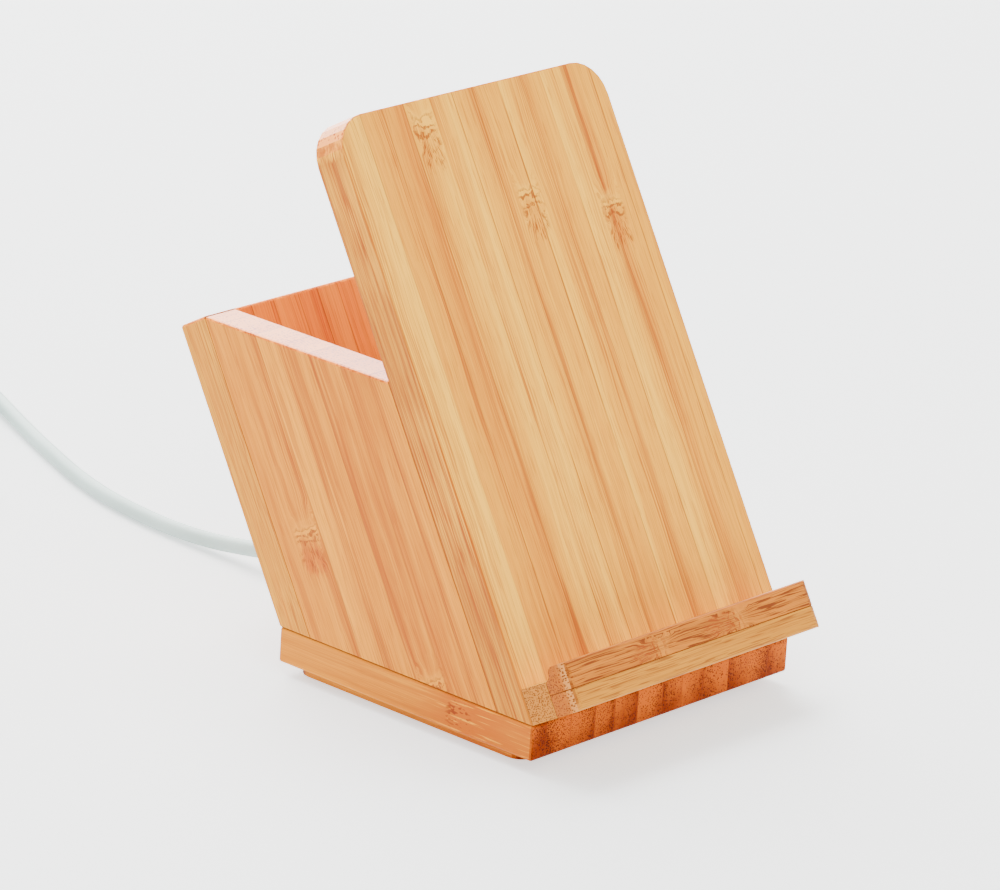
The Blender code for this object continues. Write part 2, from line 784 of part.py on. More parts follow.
# Free stretch of the cord in the order it runs, seen from above with the slab's front at
# y = 0, and the height of its middle above the desk. It leaves the relief level, comes
# down to the desk and bends gently to the right on its way to the coil.
cord_route = [
    (0.0000, 0.0948, 0.00618), (0.0000, 0.0985, 0.00600), (0.0001, 0.1050, 0.00520), (0.0003, 0.1130, 0.00380),
    (0.0004, 0.1220, 0.00250), (0.0005, 0.1315, 0.00185), (0.0011, 0.1420, 0.00167), (0.0030, 0.1551, 0.00167),
    (0.0067, 0.1680, 0.00167), (0.0114, 0.1800, 0.00167), (0.0167, 0.1925, 0.00170), (0.0217, 0.2040, 0.00195),
    (0.0256, 0.2130, 0.00230),
]
coil_entry = (0.0313, 0.2262)
coil_entry_angle = math.radians(-23.0)
coil_exit_angle = math.radians(180)


def smooth_route(points, spacing):
    """Points at an even spacing on a smooth curve through the given ones."""
    vectors = [Vector(point) for point in points]
    padded = [2 * vectors[0] - vectors[1], *vectors, 2 * vectors[-1] - vectors[-2]]
    fine = []
    for before, start, end, after in zip(padded, padded[1:], padded[2:], padded[3:]):
        for step in range(route_steps):
            share = step / route_steps
            fine.append(0.5 * (2 * start + (end - before) * share
                               + (2 * before - 5 * start + 4 * end - after) * share ** 2
                               + (3 * start - before - 3 * end + after) * share ** 3))
    fine.append(vectors[-1])
    lengths = [0.0]
    for first, second in zip(fine, fine[1:]):
        lengths.append(lengths[-1] + (second - first).length)
    count = max(2, round(lengths[-1] / spacing))
    even = []
    number = 0
    for step in range(count + 1):
        wanted = lengths[-1] * step / count
        while number < len(lengths) - 2 and lengths[number + 1] < wanted:
            number += 1
        span = lengths[number + 1] - lengths[number]
        share = (wanted - lengths[number]) / span if span else 0.0
        even.append(fine[number].lerp(fine[number + 1], min(share, 1.0)))
    return even


def coil_shape():
    """Middle of the cord's coil, its outer radius and the angle it turns through."""
    turned = 2 * math.pi * cord_loops + coil_exit_angle - coil_entry_angle
    outer = cord_coil_middle_radius + cord_layer * turned / (8 * math.pi)
    x = coil_entry[0] - outer * math.cos(coil_entry_angle)
    y = coil_entry[1] - outer * math.sin(coil_entry_angle)
    return (x, y), outer, turned


def coil_route():
    """Two layers of loops: in along the desk, up in half a turn, and out on top."""
    (x, y), outer, turned = coil_shape()
    steps = round(24 * turned / (2 * math.pi))
    points = []
    for step in range(steps + 1):
        gone = turned * step / steps
        angle = coil_entry_angle + gone
        inward = min(gone, turned - gone)
        radius = outer - cord_layer * inward / (2 * math.pi)
        share = min(max((gone - turned / 2) / math.pi + 0.5, 0.0), 1.0)
        height = coil_rest_height + cord_layer * (1 - math.cos(math.pi * share)) / 2
        points.append(Vector((x + radius * math.cos(angle), y + radius * math.sin(angle), height)))
    return points


def coil_tail(points):
    """Straight run from the last loop down to the far plug."""
    last = points[-1]
    drop = far_body_height / 2 - last.z
    run = 4 * cord_diameter
    tail = []
    for step in range(1, 6):
        share = step / 5
        tail.append(last + Vector((0, -run * share, drop * (1 - math.cos(math.pi * share)) / 2)))
    tail.append(tail[-1] + Vector((0, -cord_diameter, 0)))
    return tail


def make_near_plug():
    """Plug shell with the slot that takes the socket's tongue, its body and strain relief."""
    shell_start = slab_depth + plug_travel_gap - plug_shell_length
    shape = rounded(plug_shell_width, plug_shell_height, plug_shell_height / 2)
    shell = outline("usb_c_plug_shell", [shape], plug_shell_length - fit_gap, "XZ",
                    (0, shell_start + (plug_shell_length - fit_gap) / 2, socket_middle))
    slot = plug_slot_width / 2
    thin = plug_slot_height / 2
    cut(shell, box("plug_slot", (-slot, shell_start - overrun, socket_middle - thin),
                   (slot, shell_start + plug_slot_depth, socket_middle + thin)), stand)
    smooth(place(shell, stand, bright_steel))
    shape = rounded(plug_body_width, plug_body_height, plug_body_height / 2 - plastic_edge)
    body = outline("usb_c_plug_body", [shape], plug_body_length, "XZ",
                   (0, body_start + plug_body_length / 2, socket_middle))
    smooth(place(soften(body, plastic_edge), stand, white_plastic))
    big, small = relief_big_diameter / 2, relief_small_diameter / 2
    profile = [(0, relief_length), (small, relief_length)]
    step = relief_length / (2 * relief_ribs)
    for rib in range(relief_ribs):
        radius = small + (big - small) * (rib + 1) / relief_ribs
        bottom = relief_length - (2 * rib + 2) * step
        profile += [(radius, bottom + 1.5 * step), (radius, bottom + step / 2)]
        profile += [(radius - relief_groove, bottom + step / 2), (radius - relief_groove, bottom)]
    profile[-2:] = [(big, 0), (0, 0)]
    relief = solid(turn("plug_strain_relief", profile, steps=16))
    relief.data.transform(Matrix.Translation((0, relief_start, socket_middle)) @ Matrix.Rotation(-math.pi / 2, 4, "X"))
    return shell, body, smooth(place(relief, stand, white_plastic))


def make_cord():
    """Free stretch, coil and tie."""
    loops = coil_route()
    forward = Vector((-math.sin(coil_entry_angle), math.cos(coil_entry_angle), 0))
    lead_in = loops[0] - forward * cord_diameter
    route = [(0, cord_start, socket_middle), *cord_route[1:], tuple(lead_in - forward * fit_gap)]
    free = smooth_route(route, 2.4 * cord_diameter)
    smooth(place(solid(tube("usb_cord", free, cord_diameter)), stand, cord_plastic))
    points = [lead_in, *loops, *coil_tail(loops)]
    print("least gap in the cord's coil, mm", round(least_gap(points, cord_diameter, 12) * 1000, 3))
    lengths = [sum((b - a).length for a, b in zip(run, run[1:])) for run in (free, points)]
    print("cord length, m", round(sum(lengths), 4), "of which free", round(lengths[0], 4))
    smooth(place(solid(tube("cord_coil", points, cord_diameter, 1)), stand, cord_plastic), 80)
    make_tie()
    return points[-1]


def make_tie():
    """Flat strap round the bundle of loops, on the far side of the coil."""
    (x, y), outer, turned = coil_shape()
    inner = outer - cord_layer * turned / (4 * math.pi)
    reach = cord_diameter / 2 + tie_clearance
    bow = inner - cord_diameter / 2
    near = math.sqrt(bow ** 2 - (tie_width / 2) ** 2) - tie_clearance
    far = outer + reach
    low = coil_rest_height - reach
    high = coil_rest_height + cord_layer + reach
    middle = ((near + far) / 2, (low + high) / 2)
    hole = [(a + middle[0], b + middle[1]) for a, b in rounded(far - near, high - low, tie_thickness)]
    skin = [(a + middle[0], b + middle[1])
            for a, b in rounded(far - near + 2 * tie_thickness, high - low + 2 * tie_thickness, 2 * tie_thickness)]
    strap = outline("cord_tie", [skin, hole], tie_width, "YZ")
    strap.data.transform(Matrix.Translation((x, y, 0)))
    return smooth(place(strap, stand, black_rubber))


def make_far_plug(end):
    """Flat plug at the cord's far end, lying beside the coil."""
    middle = end.z
    relief_y = end.y - fit_gap
    body_y = relief_y - far_relief_length - fit_gap
    shell_y = body_y - far_body_length - fit_gap
    big, small = far_body_height / 3, relief_small_diameter / 2
    relief = solid(turn("far_strain_relief", [(0, far_relief_length), (small, far_relief_length), (big, 0), (0, 0)],
                        steps=16))
    turned = Matrix.Rotation(-math.pi / 2, 4, "X")
    relief.data.transform(Matrix.Translation((end.x, relief_y - far_relief_length, middle)) @ turned)
    smooth(place(relief, stand, white_plastic))
    shape = rounded(far_body_width, far_body_height, far_body_height / 3)
    body = outline("usb_a_plug_body", [shape], far_body_length, "XZ", (end.x, body_y - far_body_length / 2, middle))
    smooth(place(soften(body, plastic_edge), stand, white_plastic))
    shape = rounded(far_shell_width, far_shell_height, 2 * metal_edge)
    shell = outline("usb_a_plug_shell", [shape], far_shell_length, "XZ",
                    (end.x, shell_y - far_shell_length / 2, middle))
    bore = rounded(far_shell_width - 2 * far_shell_wall, far_shell_height - 2 * far_shell_wall, metal_edge)
    depth = far_shell_length - far_shell_wall + overrun
    cut(shell, outline("far_plug_bore", [bore], depth, "XZ",
                       (end.x, shell_y - far_shell_wall - depth / 2, middle)), stand)
    smooth(place(shell, stand, bright_steel))
    low = middle - far_shell_height / 2 + far_shell_wall + fit_gap
    half = far_shell_width / 2 - far_shell_wall - fit_gap
    tongue = box("usb_a_plug_tongue", (end.x - half, shell_y - far_shell_length + fit_gap, low),
                 (end.x + half, shell_y - far_shell_wall - fit_gap, low + far_tongue_height))
    return place(tongue, stand, black_resin)


def build():
    """Every sub-part of the stand and its lead."""
    make_base_slab()
    make_bottom_plate()
    make_pads()
    plate_profile = screw_profile(plate_screw_shank, plate_screw_head, plate_screw_length, 0, True)
    screws("plate_screw", plate_screw_places, plate_bottom, plate_profile)
    frame_profile = screw_profile(frame_screw_shank, frame_screw_head, frame_screw_length, 0, True)
    screws("frame_screw", frame_screw_places, slab_bottom, frame_profile)
    make_front_board()
    make_back_board()
    make_side_board("left_side_board", -1)
    make_side_board("right_side_board", 1)
    make_coil()
    make_shield()
    make_cover()
    make_leads()
    make_seat()
    make_dowels()
    make_lip()
    make_board()
    make_components()
    board_profile = screw_profile(board_screw_shank, board_screw_head, board_screw_length + board_screw_head_height,
                                  board_screw_head_height, False)
    screws("board_screw", board_screw_places, board_bottom - board_screw_head_height - fit_gap, board_profile)
    make_socket()
    make_near_plug()
    make_far_plug(make_cord())
    bpy.context.view_layer.update()


build()
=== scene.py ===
"""The leaning bamboo pen pot with its charging board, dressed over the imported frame.

In order: the camera, the wood, the glue, the other materials, the cord, the floor and the lights.
"""
import math

import bmesh
import bpy
from mathutils import Matrix, Vector


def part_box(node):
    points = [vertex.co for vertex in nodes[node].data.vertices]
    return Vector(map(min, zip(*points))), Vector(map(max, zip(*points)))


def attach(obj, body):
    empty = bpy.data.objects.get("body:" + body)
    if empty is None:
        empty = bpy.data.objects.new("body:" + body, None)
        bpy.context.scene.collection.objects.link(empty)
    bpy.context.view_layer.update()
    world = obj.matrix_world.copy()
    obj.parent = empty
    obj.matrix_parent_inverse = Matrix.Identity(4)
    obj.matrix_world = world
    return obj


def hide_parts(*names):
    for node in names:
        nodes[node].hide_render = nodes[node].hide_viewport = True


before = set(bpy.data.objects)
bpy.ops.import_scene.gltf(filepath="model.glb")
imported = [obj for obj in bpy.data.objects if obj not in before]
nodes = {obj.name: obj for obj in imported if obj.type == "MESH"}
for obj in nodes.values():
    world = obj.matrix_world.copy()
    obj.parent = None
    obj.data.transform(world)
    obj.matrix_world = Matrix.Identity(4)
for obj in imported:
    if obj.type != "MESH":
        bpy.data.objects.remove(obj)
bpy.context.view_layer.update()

# The stand's main lines: y of the slab's front and height of its top in metres, and the boards' lean
slab_front, slab_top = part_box("base_slab")[0].y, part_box("base_slab")[1].z
lean = math.radians(29.8)
millimetres = 1000.0


# Camera: the photograph's view, worked out from the stand's edges. Angles in radians, places in metres.

camera_turn, camera_drop, camera_roll = 0.84675, 0.33602, 0.06211
camera_place = Vector((-0.86536, slab_front - 0.71967, 0.44836))
camera_sensor, camera_lens = 36, 226.654
camera_near, camera_far = 0.01, 20


def aim_camera():
    """The scene's camera, turned to the right and down, and rolled a little."""
    ahead, aside = math.cos(camera_turn), math.sin(camera_turn)
    down, flat = math.sin(camera_drop), math.cos(camera_drop)
    forward = Vector((aside * flat, ahead * flat, -down))
    level = Vector((ahead, -aside, 0))
    lift = level.cross(forward)
    right = level * math.cos(camera_roll) + lift * math.sin(camera_roll)
    up = lift * math.cos(camera_roll) - level * math.sin(camera_roll)
    data = bpy.data.cameras.new("camera")
    data.sensor_width, data.lens = camera_sensor, camera_lens
    data.clip_start, data.clip_end = camera_near, camera_far
    camera = bpy.data.objects.new("camera", data)
    bpy.context.scene.collection.objects.link(camera)
    matrix = Matrix((right, up, -forward)).transposed().to_4x4()
    matrix.translation = camera_place
    camera.matrix_world = matrix
    bpy.context.scene.camera = camera


aim_camera()


# Node trees

class Tree:
    """Short ways to build a material's nodes."""

    def __init__(self, name):
        self.material = bpy.data.materials.new(name)
        self.material.use_nodes = True
        self.tree = self.material.node_tree
        self.shader = self.tree.nodes["Principled BSDF"]

    def add(self, kind, inputs=(), **settings):
        """A new node with its settings, and with values or links for its inputs."""
        node = self.tree.nodes.new("ShaderNode" + kind)
        for key, value in settings.items():
            setattr(node, key, value)
        for key, value in dict(inputs).items():
            self.feed(node.inputs[key], value)
        return node

    def feed(self, socket, value):
        if isinstance(value, bpy.types.NodeSocket):
            self.tree.links.new(value, socket)
        elif socket.type == "RGBA":
            socket.default_value = (*value, 1.0)
        else:
            socket.default_value = value

    def set(self, **values):
        """Values of the shader's own sockets, by name with _ for a space."""
        for key, value in values.items():
            self.feed(self.shader.inputs[key.replace("_", " ")], value)

    def bump(self, height, depth, strength=0.4):
        node = self.add("Bump", {"Height": height, "Strength": strength, "Distance": depth})
        self.set(Normal=node.outputs[0])

    def math(self, operation, *values):
        return self.add("Math", enumerate(values), operation=operation).outputs[0]

    def plus(self, total, *others):
        for other in others:
            total = self.math("ADD", total, other)
        return total

    def minus(self, first, second):
        return self.math("SUBTRACT", first, second)

    def times(self, product, *others):
        for other in others:
            product = self.math("MULTIPLY", product, other)
        return product

    def absolute(self, value):
        return self.math("ABSOLUTE", value)

    def larger(self, first, second):
        return self.math("MAXIMUM", first, second)

    def span(self, value, low, high, start=0.0, end=1.0):
        """Smooth step of a value between low and high, to start and end."""
        inputs = {0: value, 1: low, 2: high, 3: start, 4: end}
        return self.add("MapRange", inputs, interpolation_type="SMOOTHSTEP").outputs[0]

    def vector(self, operation, first, second):
        return self.add("VectorMath", {0: first, 1: second}, operation=operation).outputs[0]

    def scaled(self, vector, by):
        return self.vector("MULTIPLY", vector, by)

    def split(self, vector):
        return self.add("SeparateXYZ", {0: vector}).outputs

    def join(self, x, y, z):
        return self.add("CombineXYZ", {0: x, 1: y, 2: z}).outputs[0]

    def here(self, scale=1.0):
        """The shaded point in the piece's own frame, in millimetres times a scale."""
        return self.scaled(self.add("TexCoord").outputs["Object"], (millimetres * scale,) * 3)

    def mix(self, share, first, second, blend="MIX"):
        return self.add("Mix", {0: share, 6: first, 7: second}, data_type="RGBA", blend_type=blend).outputs[2]

    def glazed(self, colour, *glazes):
        """A colour under glazes, each a share and a colour, laid one over another."""
        for share, glaze in glazes:
            colour = self.mix(share, colour, glaze)
        return colour

    def noise(self, vector, scale=1.0, detail=3.0, roughness=0.55):
        inputs = {"Vector": vector, "Scale": scale, "Detail": detail, "Roughness": roughness}
        return self.add("TexNoise", inputs).outputs[0]

    def cells(self, vector, scale, **settings):
        """Distance from the middle of the nearest of many cells."""
        return self.add("TexVoronoi", {"Vector": vector, "Scale": scale}, **settings).outputs["Distance"]

    def ridge(self, value, width):
        """1 along the thin lines where a noise crosses its middle."""
        return self.span(self.absolute(self.minus(value, 0.5)), width, 0.2 * width)

    def chance(self, x, y, z):
        """Three even random numbers that belong to a cell."""
        node = self.add("TexWhiteNoise", {"Vector": self.join(x, y, z)}, noise_dimensions="3D")
        return self.split(node.outputs["Color"])


def srgb(red, green, blue):
    """Linear colour from the values seen on a screen, for all but the very darkest."""
    return tuple(((shade / 255 + 0.055) / 1.055) ** 2.4 for shade in (red, green, blue))


# Wood. Sizes are in millimetres, but for the relief's depth in metres.

# Bamboo lies in layers of strips, whose sides wander, and whose fibres crowd to one side. No seam between
# two strips is fainter than faintest_seam.
layer_height, layer_start = 60.0, -20.0
wander_pace, wander_reach = 0.31, 0.55
crowding = 2.2
faintest_seam = 0.38

# How far the fibres' pattern jumps at most from strip to strip, across, through and along it, and how far
# the fibres sway
strip_jumps = (37.0, 23.0, 400.0)
sway_reach = 2.4

# Noises drawn out along the fibres: their scales across and along, their detail and their roughness
streaks = {
    "broad": (0.42, 0.007, 2.0, 0.55), "blots": (0.62, 0.026, 2.0, 0.55), "fading": (0.7, 0.014, 1.0, 0.55),
    "veins": (0.85, 0.0045, 1.0, 0.55), "bruises": (1.7, 0.75, 1.0, 0.55), "threads": (2.0, 0.009, 1.0, 0.55),
    "flecks": (2.6, 0.11, 1.0, 0.55), "breaks": (3.2, 0.5, 2.0, 0.55), "dashes": (4.4, 0.12, 1.0, 0.55),
    "fine": (5.5, 0.05, 2.0, 0.6),
}

# From where each mark has gone to where it is full, in the value that makes it: a noise, a tone, how
# squarely a face looks along the fibres or aside, or millimetres from a strip's side
fades = {
    "mid_tone": (0.0, 0.58), "warm_tone": (0.58, 1.15), "dark_blots": (0.50, 0.68),
    "pale_blots": (0.46, 0.30), "band": (0.70, 0.98), "band_spell": (0.44, 0.62), "vein_spell": (0.36, 0.56),
    "dark_fibres": (0.50, 0.66), "pale_fibres": (0.48, 0.34), "flecks": (0.57, 0.66), "bruise": (0.57, 0.63),
    "stroke_wave": (-0.1, 0.55), "strokes": (0.38, 0.48), "patch": (0.51, 0.58),
    "seam": (0.24, 0.07), "seam_spell": (0.36, 0.56), "pore": (0.05, -0.08), "depth": (0.0, 1.0),
    "sawn": (0.22, 0.55), "lacquer": (0.50, 0.85), "painted_highlight_start": (0.15, 0.60), "painted_highlight_end": (1.0, 0.70),
    "fray_start": (0.06, 0.30), "fray_end": (0.62, 0.40), "fray_spell": (0.38, 0.52),
    "arris": (0.15, 0.35), "arris_spell": (0.40, 0.60), "outside": (0.4, 0.8),
}

# How much each mark covers of what is under it, at its full strength
shares = {
    "dark_blots": 0.42, "pale_blots": 0.40, "band": 0.42, "veins": 0.95, "threads": 0.55, "dark_fibres": 0.15,
    "pale_fibres": 0.22, "dashes": 0.38, "stain": 0.9, "bruise": 0.9, "swelling": 0.5, "knot_marks": 0.85,
    "painted_highlight": 0.36, "fray": 0.6, "seam": 0.8,
}
vein_width, thread_width = 0.045, 0.09

# The joints of the cane: how far noises shift their marks, and the marks' distances from the joint. The
# pairs say from where a mark has gone to where it is full, at the sides in shares of the joint's width.
ripple_shift, tongue_shift = 5.0, 9.0
patch_below, swelling_above = 4.6, 1.6
knot_sides = (0.58, 0.34)
stroke_reach, patch_reach, swelling_reach, pull_reach = (2.9, 1.2), (4.4, 1.0), (2.6, 0.3), (8.0, 0.5)
stroke_wave = 3.9

# The slab's darker wood along it, its paler back and the place and size of a bruise; and the painted shade
# that darkens the end grain of the slab and its plate through it, towards the foot
worn_back, worn_front, pale_back = (34.0, 18.0), (13.0, 5.0), (28.0, 62.0)
bruise_through, bruise_along = -3.6, 19.0
bruise_height, bruise_length = (4.0, 1.0), (4.5, 1.5)
painted_shade_through = (0.5, -8.5)

wood_sheen_tint = (1.0, 0.5, 0.14)
lacquer_roughness = 0.14
relief_depth = 0.00005


class Bamboo(Tree):
    """Laminated bamboo, solid all through, worked out in millimetres along the board's own axes.

    grain names the board's axes across the strips, through the board and along the fibres. strip gives the
    width and the start of the strips. knots are joints of the cane: across, along, width and warmth. The rest
    is the strength of each mark: streaky for the long dark ones and dashes for the short ones, blotchy for
    the soft orange ones, stain_and_painted_shade for the darker wood towards the front and for the painted
    shade that darkens the end grain towards the foot, rubbed for the orange line that sanding leaves on an
    edge. In the end grain, pores is the pores' strength, pore_density their number in a millimetre, pore_size
    their share of that, and sealed the lacquer.
    """

    def __init__(self, name, grain, looks, strip, seed, tilted=True, knots=(), streaky=1.0, dashes=1.0,
                 blotchy=0.3, stain_and_painted_shade=0.0, rubbed=0.0, pores=1.0, pore_density=1.8, pore_size=0.29,
                 sealed=0.0):
        super().__init__(name)
        self.looks, self.seed = looks, seed
        self.find_axes(grain, tilted)
        self.lay_strips(*strip)
        self.find_knots(knots)
        self.lay_fibres()
        colour = self.long_grain(streaky, dashes, blotchy)
        if stain_and_painted_shade:
            colour = self.stain(colour)
        colour = self.show_knots(colour)
        # Painted bounce light: kept only on the faces that look into the pot
        if "painted_bounce_removal_tint" in looks:
            colour = self.remove_painted_bounce_outside(colour)
        colour = self.mix(self.sawn, colour, self.end_grain(pores, pore_density, pore_size, stain_and_painted_shade))
        colour = self.mark_edges(colour, rubbed)
        self.finish(colour, sealed)

    def find_axes(self, grain, tilted):
        """Place and facing along the board's axes, from the middle of the slab's top front edge."""
        outputs = self.add("TexCoord").outputs
        place = self.vector("SUBTRACT", outputs["Object"], (0.0, slab_front, slab_top))
        facing = outputs["Normal"]
        if tilted:
            place, facing = (self.leant(vector) for vector in (place, facing))
        places, facings = self.split(self.scaled(place, (millimetres,) * 3)), self.split(facing)
        order = ["XYZ".index(letter) for letter in grain]
        self.across, self.through, self.along = (places[number] for number in order)
        self.facing_across, self.facing_through, facing_along = (facings[number] for number in order)
        self.turn = self.absolute(facing_along)
        self.sawn = self.fade(self.turn, "sawn")

    def fade(self, value, mark, *ends):
        """A mark's strength, from the value that makes it."""
        return self.span(value, *fades[mark], *ends)

    def leant(self, vector):
        """A vector of the stand, turned into the frame of the leaning boards."""
        return self.add("VectorRotate", {"Vector": vector, "Angle": lean}, rotation_type="X_AXIS").outputs[0]

    def lay_strips(self, width, start):
        """Each strip has its own tone, its own stretch of cane and a side where the fibres crowd."""
        wander = self.math("SINE", self.plus(self.times(self.across, wander_pace), self.seed))
        place = self.plus(self.across, self.times(wander, wander_reach))
        cell = self.math("DIVIDE", self.minus(place, start), width)
        row = self.math("FLOOR", self.math("DIVIDE", self.minus(self.through, layer_start), layer_height))
        part = self.math("FRACT", cell)
        self.number = self.math("FLOOR", cell)
        self.own = self.chance(self.number, row, self.seed)
        self.crowded = self.absolute(self.minus(part, self.math("GREATER_THAN", self.own[0], 0.5)))
        self.crowd = self.math("POWER", self.crowded, crowding)
        from_side = self.times(self.math("MINIMUM", part, self.minus(1.0, part)), width)
        joint = self.math("FLOOR", self.plus(cell, 0.5))
        joint_own = self.chance(joint, row, self.seed + 0.5)[0]
        strength = self.plus(faintest_seam, self.times(joint_own, 1.0 - faintest_seam))
        lasting = self.fade(self.drift(joint, 5.7, self.seed, 0.035), "seam_spell", 0.3, 1.0)
        self.seam = self.times(self.fade(from_side, "seam"), strength, lasting)

    def drift(self, number, spread, seed, pace, detail=1.0):
        """Noise that changes slowly along a strip, and from strip to strip."""
        place = self.join(self.times(number, spread), seed, self.times(self.along, pace))
        return self.noise(place, 1.0, detail)

    def find_knots(self, knots):
        """Joints of the cane: wavy strokes, a warm patch below, a pale swelling and drawn-in fibres."""
        across, through, along = self.across, self.through, self.along
        ripple = self.noise(self.join(across, through, along), 0.45, 2.0)
        ripple = self.times(self.minus(ripple, 0.5), ripple_shift)
        tongues = self.noise(self.join(self.times(across, 1.3), through, self.times(along, 0.1)), 1.0, 2.0)
        tongues = self.times(self.minus(tongues, 0.5), tongue_shift)
        self.strokes, self.patch, self.warmth, self.swelling, self.pull = 0.0, 0.0, 0.0, 0.0, 0.0
        for knot_across, knot_along, width, warmth in knots:
            aside = self.minus(across, knot_across)
            ragged = self.plus(self.absolute(aside), self.times(ripple, 0.25))
            inside = self.span(ragged, *(share * width for share in knot_sides))
            above = self.plus(self.minus(along, knot_along), ripple)
            near = self.absolute(above)
            wave = self.fade(self.math("SINE", self.times(above, stroke_wave)), "stroke_wave")
            strokes = self.times(inside, wave, self.span(near, *stroke_reach))
            self.strokes = self.larger(self.strokes, strokes)
            from_patch = self.absolute(self.plus(above, tongues, patch_below))
            patch = self.times(inside, self.span(from_patch, *patch_reach))
            self.patch = self.larger(self.patch, patch)
            self.warmth = self.larger(self.warmth, self.times(patch, warmth))
            from_swelling = self.absolute(self.minus(above, swelling_above))
            swelling = self.times(inside, self.span(from_swelling, *swelling_reach))
            self.swelling = self.larger(self.swelling, swelling)
            self.pull = self.plus(self.pull, self.times(aside, inside, self.span(near, *pull_reach)))

    def lay_fibres(self):
        """Fibres sway a little along the strip, draw in at a joint and start anew in each strip."""
        sway = self.minus(self.drift(self.number, 7.3, self.seed, 0.022, 2.0), 0.5)
        bent = self.plus(self.across, self.times(sway, sway_reach), self.times(self.pull, 0.8))
        jumps = [self.times(chance, jump) for chance, jump in zip(self.own, strip_jumps)]
        places = (bent, self.through, self.along)
        self.fibre = self.join(*(self.plus(place, jump) for place, jump in zip(places, jumps)))
        self.broad, self.blots, self.fine = (self.streak(kind) for kind in ("broad", "blots", "fine"))

    def streak(self, kind):
        across, along, detail, roughness = streaks[kind]
        return self.noise(self.scaled(self.fibre, (across, across, along)), 1.0, detail, roughness)

    def long_grain(self, streaky, dashes, blotchy):
        """Colour of a face along the fibres, from the broad tone to the short dashes."""
        pale, line = self.looks["pale"], self.looks["line"]
        tone = self.plus(self.times(self.own[1], 0.95), self.times(self.crowd, 0.25),
                         self.minus(self.broad, 0.5))
        colour = self.mix(self.fade(tone, "mid_tone"), pale, self.looks["mid"])
        colour = self.mix(self.fade(tone, "warm_tone"), colour, self.looks["warm"])
        spell = self.fade(self.drift(self.number, 3.1, self.seed + 4.0, 0.018), "band_spell")
        band = self.times(self.fade(self.crowded, "band"), spell)
        near = self.plus(0.12, self.times(self.crowd, 0.88))
        spell = self.fade(self.streak("fading"), "vein_spell")
        veins = self.times(self.ridge(self.streak("veins"), vein_width), spell)
        threads = self.ridge(self.streak("threads"), thread_width)
        often = 0.62 - 0.03 * dashes
        short = self.span(self.streak("dashes"), often, often + 0.06)
        return self.glazed(
            colour,
            (self.times(self.fade(self.blots, "dark_blots"), shares["dark_blots"] * blotchy), line),
            (self.times(self.fade(self.blots, "pale_blots"), shares["pale_blots"] * blotchy), pale),
            (self.times(band, shares["band"] * streaky), line),
            (self.times(near, shares["veins"] * streaky, veins), line),
            (self.times(near, shares["threads"] * streaky, threads), line),
            (self.times(self.fade(self.fine, "dark_fibres"), shares["dark_fibres"] * streaky), line),
            (self.times(self.fade(self.fine, "pale_fibres"), shares["pale_fibres"]), pale),
            (self.times(short, shares["dashes"] * dashes), line))

    def stain(self, colour):
        """The slab's long faces: paler behind, darker and flecked in front, with a small bruise."""
        behind = self.span(self.along, *pale_back, 0.0, 0.15)
        worn = self.times(self.span(self.along, *worn_back), self.span(self.along, *worn_front, 1.0, 0.7))
        flecks = self.fade(self.streak("flecks"), "flecks", 0.0, 0.6)
        beside = self.span(self.absolute(self.minus(self.through, bruise_through)), *bruise_height)
        around = self.span(self.absolute(self.minus(self.along, bruise_along)), *bruise_length)
        bruise = self.times(beside, around, self.fade(self.streak("bruises"), "bruise"))
        return self.glazed(colour, (behind, self.looks["pale"]),
                           (self.times(worn, shares["stain"]), self.looks["stain"]),
                           (self.times(worn, flecks), self.looks["pale"]),
                           (self.times(bruise, shares["bruise"]), self.looks["cut_dark"]))

    def show_knots(self, colour):
        """The joints' swelling, patch and strokes, where breaks in the fibres let them show."""
        breaks = self.streak("breaks")
        self.mark = self.larger(self.times(self.strokes, self.fade(breaks, "strokes")),
                                self.times(self.patch, self.fade(breaks, "patch")))
        return self.glazed(colour, (self.times(self.swelling, shares["swelling"]), self.looks["pale"]),
                           (self.warmth, self.looks["knot"]),
                           (self.times(self.mark, shares["knot_marks"]), self.looks["seam"]))

    def remove_painted_bounce_outside(self, colour):
        """Faces that look aside or back are tinted back towards plain wood, so the painted bounce light stays
        inside the pot.
        """
        outer = self.fade(self.larger(self.absolute(self.facing_across), self.facing_through), "outside")
        return self.mix(outer, colour, self.mix(1.0, colour, self.looks["painted_bounce_removal_tint"], "MULTIPLY"))

    def end_grain(self, pores, pore_density, pore_size, stain_and_painted_shade):
        """Colour across the fibres, whose bundles show as dark pores that crowd to one side, with painted
        shade towards the slab's foot and a painted highlight on a rounded edge.
        """
        bundles = self.scaled(self.fibre, (pore_density, pore_density, 0.02))
        spot = self.add("TexVoronoi", {"Vector": bundles, "Scale": 1.0, "Randomness": 0.75}, feature="F1")
        reach = self.plus(pore_size, self.times(self.crowded, 0.15))
        self.pore = self.fade(self.minus(spot.outputs["Distance"], reach), "pore")
        depth = self.plus(self.times(self.crowd, 0.45), self.times(self.minus(self.broad, 0.4), 0.5),
                          self.times(self.own[1], 0.45))
        # Painted shade: the end grain of the slab and its plate goes darker towards the foot
        if stain_and_painted_shade:
            depth = self.plus(depth, self.span(self.through, *painted_shade_through, -0.25 * stain_and_painted_shade, stain_and_painted_shade))
        cut = self.mix(self.fade(depth, "depth"), self.looks["cut_pale"], self.looks["cut_dark"])
        # A painted highlight: the end grain is paler where a rounded edge turns towards the light
        if "painted_highlight" in self.looks:
            painted_highlight_band = self.times(self.fade(self.turn, "painted_highlight_start"), self.fade(self.turn, "painted_highlight_end"))
            cut = self.mix(self.times(painted_highlight_band, shares["painted_highlight"]), cut, self.looks["painted_highlight"])
        strength = self.times(self.plus(0.78, self.times(self.own[0], 0.22)), pores)
        return self.mix(self.times(self.pore, strength), cut, self.looks["pore"])

